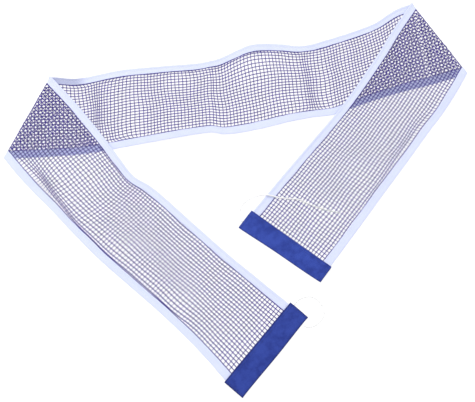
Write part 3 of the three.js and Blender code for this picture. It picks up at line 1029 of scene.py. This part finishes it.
def makeTapePiece(kind, half, section):
    tip = (half[-1][0] + math.copysign(0.13, half[-1][0]), 0.0)
    profile = half + [tip] + [(q, -n) for q, n in half[::-1]]
    q, n = np.array(profile).T
    into = 0.0
    if section in ("left", "right"):
        into = tapeValues["hemIn"] if kind == "top" else netValues["seam"]
    grid = raisedPoints(section, q, n, tapeValues["spacing"], into, 1)
    grid = ravelled(grid, tapeValues["waverSize"] / 2)
    name = pieceName(kind + "Tape", section)
    # painted shade where the top tape goes under the left fold
    marks = {"foldShade": foldShadeOn(kind, section, grid[1:-1])}
    piece = clothSheet(name, grid, tapeValues["ply"], tape, marks, 1)
    attach(piece, section, kind + "_tape")
    sectionLength(section, q[0])
    return piece


def makeTapeStitches(section):
    q, n = np.array(tapeValues["stitchRows"]).T
    grid = raisedPoints(section, q, n, tapeValues["spacing"])
    grid = ravelled(grid, tapeValues["waverSize"] / 2)
    name = pieceName("tapeStitches", section)
    mesh = linesMesh(name, [grid[:, k] for k in range(len(q))])
    piece = grow(name, stitchTree, mesh, stitchSizes(tapeValues["thread"], whiteThread))
    attach(piece, section)
    return piece


cordValues = {
    "diameter": 0.0025,
    "plies": 3,
    "relief": 0.09,
    "pitch": 0.011,
    "step": 0.0009,
    "hemStep": 0.002,  # coarser, because the hem hides it
    "seat": 72.95,  # place of the hem cord across the strip
}


def growCord(name, line, step):
    sizes = {
        "Cord Diameter": cordValues["diameter"],
        "Plies": cordValues["plies"],
        "Ply Relief": cordValues["relief"],
        "Twist Pitch": cordValues["pitch"],
        "Step": step,
        "Material": cordFibre,
    }
    return grow(name, cordTree, linesMesh(name, [line]), sizes)


def makeHemCord(section):
    into = tapeValues["hemIn"] if section in ("left", "right") else 0.0
    line = sectionPoints(section, [cordValues["seat"]], 3.0, into)[:, 0]
    name = pieceName("hemCord", section)
    piece = growCord(name, line, cordValues["hemStep"])
    attach(piece, section, "hem_cord")
    return piece


for section in sections:
    makeTapePiece("top", topTapeHalf, section)
    makeTapePiece("bottom", bottomTapeHalf, section)
    makeTapeStitches(section)
    makeHemCord(section)
print("tapes and hem cord made")

# Post sleeves
sleeveValues = {
    "length": 157.0,
    "width": 35.5,
    "cloth": 0.4,
    "wrinkle": 0.28,
    "edgeBand": {"left": 2.6, "right": 1.5},
    "edgeDepth": {"left": 0.95, "right": 0.6},
    "wholeShade": {"left": 0.16, "right": 0.0},  # painted shade: the left sleeve is drawn a little darker all over
    "pinch": {"left": 0.0, "right": 5.0},  # how much narrower it lies at its foot
    "thread": 0.0005,
}
# Middle of the cloth, from the turned-in lower mouth edge round the closed edge and back.
sleeveOutline = [
    (7.0, 0.72), (4.0, 0.72), (0.9, 0.72), (0.3, 0.62), (0.2, 0.48), (0.3, 0.34), (0.9, 0.26),
    (4.0, 0.25), (8.0, 0.25), (12.0, 0.25), (17.0, 0.25), (22.0, 0.25), (27.0, 0.25),
    (31.0, 0.25), (33.6, 0.25), (34.8, 0.5), (35.25, 1.4), (34.8, 2.3), (33.6, 2.65),
    (31.0, 3.04), (27.0, 3.6), (22.0, 4.3), (17.0, 5.0), (13.0, 5.56), (9.5, 5.82), (6.0, 5.85),
    (3.0, 5.85), (0.9, 5.84), (0.3, 5.76), (0.2, 5.62), (0.3, 5.48), (0.9, 5.38), (4.0, 5.38),
    (7.0, 5.38),
]


# Turns places in a sleeve's own frame (w outward, v towards the top hem) into the row frame.
def sleeveFrame(side):
    half = netPlan["halfHeight"]
    hem, foot = planOf(side, sleeveAt[side], half), planOf(side, sleeveAt[side], -half)
    middle = (hem + foot) / 2
    ahead = (hem - foot) / np.linalg.norm(hem - foot)
    turn = 1 if side == "left" else -1
    outward = np.array([ahead[1] * turn, -ahead[0] * turn])

    def place(w, v, z):
        xy = middle + w[..., None] * outward + v[..., None] * ahead
        return np.concatenate([xy, z[..., None]], axis=-1)

    return place


def wrinklesOf(w, v, seed):
    return (
        0.5 * np.sin(0.11 * v + 0.23 * w + seed)
        + 0.35 * np.sin(0.27 * v - 0.19 * w + 2.3 * seed)
        + 0.25 * np.sin(0.07 * v * w / 10 + 0.4 * v + seed)
    )


# Draws the closed edge in towards the sleeve's foot.
def pinched(side, w, v):
    towardsFoot = 0.5 - v / sleeveValues["length"]
    return w - sleeveValues["pinch"][side] * towardsFoot * smooth(w, 8, 35)


def makeSleeve(side):
    place = sleeveFrame(side)
    w, z = np.array(sleeveOutline).T
    half = sleeveValues["length"] / 2
    v = np.concatenate([[-half, -half + 0.6], np.linspace(-half + 1.6, half - 1.6, 90),
                        [half - 0.6, half]])
    wGrid, vGrid = np.meshgrid(w, v)
    zGrid = np.repeat(z[None, :], len(v), axis=0)
    seed = 1.3 if side == "left" else 4.1
    upper = smooth(zGrid, 2.2, 3.2)
    amount = sleeveValues["wrinkle"] * upper * smooth(wGrid, 1, 8) * (1 - smooth(wGrid, 31, 35))
    zGrid = zGrid + amount * (wrinklesOf(wGrid, vGrid, seed) - 0.4)
    bow = 0.35 * np.sin(0.05 * vGrid + seed) * smooth(wGrid, 20, 35)
    nearEnd = 1 - smooth(half - np.abs(vGrid), 0, 6)
    toEdge = np.minimum(half - np.abs(vGrid), np.minimum(wGrid, sleeveValues["width"] - wGrid))
    band, depth = sleeveValues["edgeBand"][side], sleeveValues["edgeDepth"][side]
    # painted shade: the left sleeve is drawn darker all over, and every sleeve is darker near its
    # edges
    shadeAllOver = sleeveValues["wholeShade"][side]
    marks = {"edge": shadeAllOver + (depth - shadeAllOver) * (1 - smooth(toEdge, 0.3, band))}
    wGrid = pinched(side, wGrid, vGrid) + bow * (1 - nearEnd) - 0.2 * smooth(wGrid, 30, 35)
    name = pieceName("postSleeve", side)
    grid = place(wGrid, vGrid, zGrid)
    piece = clothSheet(name, grid, sleeveValues["cloth"], sleeveCloth, marks)
    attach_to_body(piece, side + "_run")
    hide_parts("post_sleeve_" + side)

    ends = half - 4.0
    lines = []
    for at, low, high in ((2.2, 0.04, 6.06), (5.4, 0.04, 6.06)):
        across = np.linspace(-ends, ends, 60)
        for level in (low, high):
            lines.append(place(np.full(60, at), across, np.full(60, level)))
    for end in (-ends - 0.4, ends + 0.4):
        along = np.linspace(2.0, 33.0, 12)
        top = np.interp(along, w[18:28][::-1], z[18:28][::-1]) + 0.22
        across = np.full(12, end)
        lines.append(place(pinched(side, along, across), across, top))
    name = pieceName("sleeveStitches", side)
    sizes = stitchSizes(sleeveValues["thread"], navyThread)
    seams = grow(name, stitchTree, linesMesh("sleeveStitches", lines), sizes)
    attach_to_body(seams, side + "_run")


for side in ("left", "right"):
    makeSleeve(side)
print("post sleeves made")

# Free ends of the cord
# The loop at the left sleeve: out of its mouth and back to its closed edge, in metres.
loopRoute = [
    (0.0726, -0.214, 0.00305), (0.0762, -0.216, 0.00305), (0.0796, -0.2136, 0.00285),
    (0.0826, -0.2086, 0.00215), (0.088, -0.203, 0.00155), (0.096, -0.1994, 0.00135),
    (0.105, -0.198, 0.00135), (0.113, -0.2004, 0.00135), (0.12, -0.2064, 0.00135),
    (0.125, -0.215, 0.00135), (0.126, -0.224, 0.00135), (0.1236, -0.232, 0.00135),
    (0.118, -0.239, 0.00135), (0.11, -0.244, 0.00135), (0.102, -0.246, 0.0014),
    (0.0974, -0.2452, 0.0015), (0.0944, -0.2432, 0.00155),
]
# The tail at the right sleeve, back across its run.
tailRoute = [
    (0.0168, -0.061, 0.00305), (0.0124, -0.0668, 0.00305), (0.008, -0.0716, 0.00285),
    (0.003, -0.0742, 0.0024), (-0.0014, -0.0724, 0.00185), (-0.0036, -0.065, 0.00145),
    (-0.003, -0.055, 0.00135), (0.0, -0.046, 0.00135), (0.0054, -0.04, 0.00165),
    (0.0136, -0.035, 0.00275), (0.023, -0.0318, 0.005), (0.033, -0.03, 0.0068),
    (0.042, -0.03, 0.0072), (0.051, -0.0316, 0.0063), (0.06, -0.0336, 0.0051),
    (0.071, -0.0348, 0.0047), (0.082, -0.0354, 0.0046), (0.094, -0.037, 0.0046),
    (0.104, -0.042, 0.0046), (0.114, -0.047, 0.0046), (0.125, -0.051, 0.0046),
    (0.136, -0.055, 0.0046), (0.147, -0.0576, 0.0046), (0.159, -0.06, 0.0046),
]


# A smooth line through a route's points.
def smoothRoute(route, count=12):
    points = np.array(route)
    padded = np.concatenate([[2 * points[0] - points[1]], points, [2 * points[-1] - points[-2]]])
    line = []
    for i in range(len(points) - 1):
        a, b, c, d = padded[i : i + 4]
        for t in np.linspace(0, 1, count, endpoint=False):
            line.append(
                0.5
                * (
                    2 * b
                    + (c - a) * t
                    + (2 * a - 5 * b + 4 * c - d) * t * t
                    + (3 * b - a - 3 * c + d) * t**3
                )
            )
    line.append(points[-1])
    return np.array(line)


def makeFreeCord(name, route, side, node, exitPoint):
    line = smoothRoute(route)
    piece = growCord(name, line / mm, cordValues["step"])
    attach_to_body(piece, side + "_run")
    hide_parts(node)
    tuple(exitPoint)


makeFreeCord("cordLoopLeft", loopRoute, "left", "cord_loop_left", loopRoute[0])
makeFreeCord("cordTailRight", tailRoute, "right", "cord_tail_right", tailRoute[0])
print("free cords made")

# Table and light
studio = {
    "sky": 0.8,
    "lampPower": 42.0,
    "lampSize": 2.4,
    "lampPlace": (-0.5, 0.7, 2.2),
    "tableReach": 12.0,
    "tableLevel": -0.0003,
}


def addTableAndLight():
    mesh = bpy.data.meshes.new("tableTop")
    reach, level = studio["tableReach"], studio["tableLevel"]
    turns = [(-1, -1), (1, -1), (1, 1), (-1, 1)]
    corners = [(reach * x, reach * y, level) for x, y in turns]
    mesh.from_pydata(corners, [], [(0, 1, 2, 3)])
    mesh.materials.append(tableTop)
    table = bpy.data.objects.new("tableTop", mesh)
    bpy.context.collection.objects.link(table)

    lamp = bpy.data.lights.new("softLamp", "AREA")
    lamp.shape = "DISK"
    lamp.size = studio["lampSize"]
    lamp.energy = studio["lampPower"]
    holder = bpy.data.objects.new("softLamp", lamp)
    holder.location = studio["lampPlace"]
    aim = Vector((0, 0, 0)) - Vector(studio["lampPlace"])
    holder.rotation_euler = aim.to_track_quat("-Z", "Y").to_euler()
    bpy.context.collection.objects.link(holder)

    world = bpy.context.scene.world or bpy.data.worlds.new("studio")
    bpy.context.scene.world = world
    world.use_nodes = True
    sky = world.node_tree.nodes["Background"]
    sky.inputs["Color"].default_value = (1, 1, 1, 1)
    sky.inputs["Strength"].default_value = studio["sky"]
    bpy.context.scene.view_settings.view_transform = "Standard"


addTableAndLight()
print("table and light placed")
